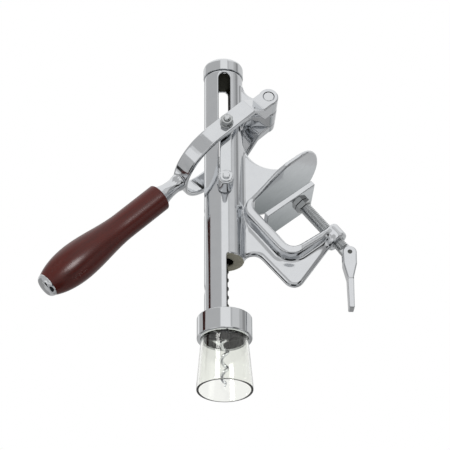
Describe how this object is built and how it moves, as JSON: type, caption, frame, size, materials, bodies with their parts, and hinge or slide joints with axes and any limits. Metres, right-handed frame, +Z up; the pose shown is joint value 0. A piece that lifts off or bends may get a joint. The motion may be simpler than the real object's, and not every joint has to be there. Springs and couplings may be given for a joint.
{
  "type": "counter mount corkscrew",
  "caption": "Lever corkscrew in a slotted upright tube that clamps to a counter: a wooden-handled yoke drives links, a spindle and a worm inside a clear bottle bell.",
  "frame": {"origin": "centre of the bell's mouth, on the tube axis", "axes": "+Z up the tube axis, +X towards the counter clamp, -Y towards the side with the thick pivot boss"},
  "size_m": [0.2765, 0.098, 0.327],
  "materials": {
    "chrome": "polished chrome plate",
    "steel": "plain steel",
    "brass": "machined",
    "wood": "dark reddish lacquer",
    "clear_plastic": "clear",
    "rubber": "matt black"
  },
  "bodies": {
    "frame": {"frame_casting": "chrome", "top_cap": "chrome", "bell_collar": "chrome", "clear_bell": "clear_plastic", "bottle_stop": "rubber", "drive_nut": "brass", "follower_pins": "steel", "nut_set_screw": "steel", "shell_screw": "steel", "pivot_pin": "chrome"},
    "lever": {"lever_yoke": "chrome", "wooden_handle": "wood", "handle_rod": "steel", "handle_end_cap": "chrome", "lever_bolts": "steel", "lever_washers": "chrome", "lever_nuts": "chrome", "link_spacers": "steel"},
    "links": {"near_link": "chrome", "far_link": "chrome", "link_studs": "chrome"},
    "slider": {"slider": "brass", "slider_studs": "steel"},
    "spindle": {"spindle": "steel", "thrust_washer": "brass", "retaining_nut": "steel", "worm": "steel"},
    "pad": {"swivel_pad": "chrome"},
    "clamp_screw": {"clamp_screw": "steel", "pad_nut": "chrome", "folding_pin": "steel"},
    "folding_handle": {"folding_handle": "chrome"}
  },
  "joints": [
    {"name": "lever_swing", "type": "hinge", "parent": "frame", "child": "lever", "pos_m": [0.0392, 0, 0.2781], "axis": [0, 1, 0], "range_deg": [0, 130]},
    {"name": "slider_lift", "type": "slide", "parent": "frame", "child": "slider", "axis": [0, 0, 1], "range_m": [0, 0.10474]},
    {"name": "spindle_turn", "type": "hinge", "parent": "slider", "child": "spindle", "pos_m": [0, 0, 0.18], "axis": [0, 0, 1], "range_deg": [0, 2242.1]},
    {"name": "link_swing", "type": "hinge", "parent": "lever", "child": "links", "pos_m": [0.00046, 0, 0.24121], "axis": [0, 1, 0], "range_deg": [-87.6, 0]},
    {"name": "pad_travel", "type": "slide", "parent": "frame", "child": "pad", "axis": [-0.6293, 0, 0.7771], "range_m": [-0.0263, 0.00705]},
    {"name": "clamp_turn", "type": "hinge", "parent": "pad", "child": "clamp_screw", "pos_m": [0.08027, 0, 0.16921], "axis": [-0.6293, 0, 0.7771], "range_deg": [-5400, 1440]},
    {"name": "handle_fold", "type": "hinge", "parent": "clamp_screw", "child": "folding_handle", "pos_m": [0.10966, 0, 0.13292], "axis": [0, -1, 0], "range_deg": [-35, 129]}
  ],
  "couplings": [
    {"joint": "slider_lift", "follows": "lever_swing", "m_per_rad": 0.046073},
    {"joint": "spindle_turn", "follows": "lever_swing", "ratio": 17.231},
    {"joint": "link_swing", "follows": "lever_swing", "ratio": -0.6703},
    {"joint": "pad_travel", "follows": "clamp_turn", "m_per_rad": 0.00027852}
  ]
}
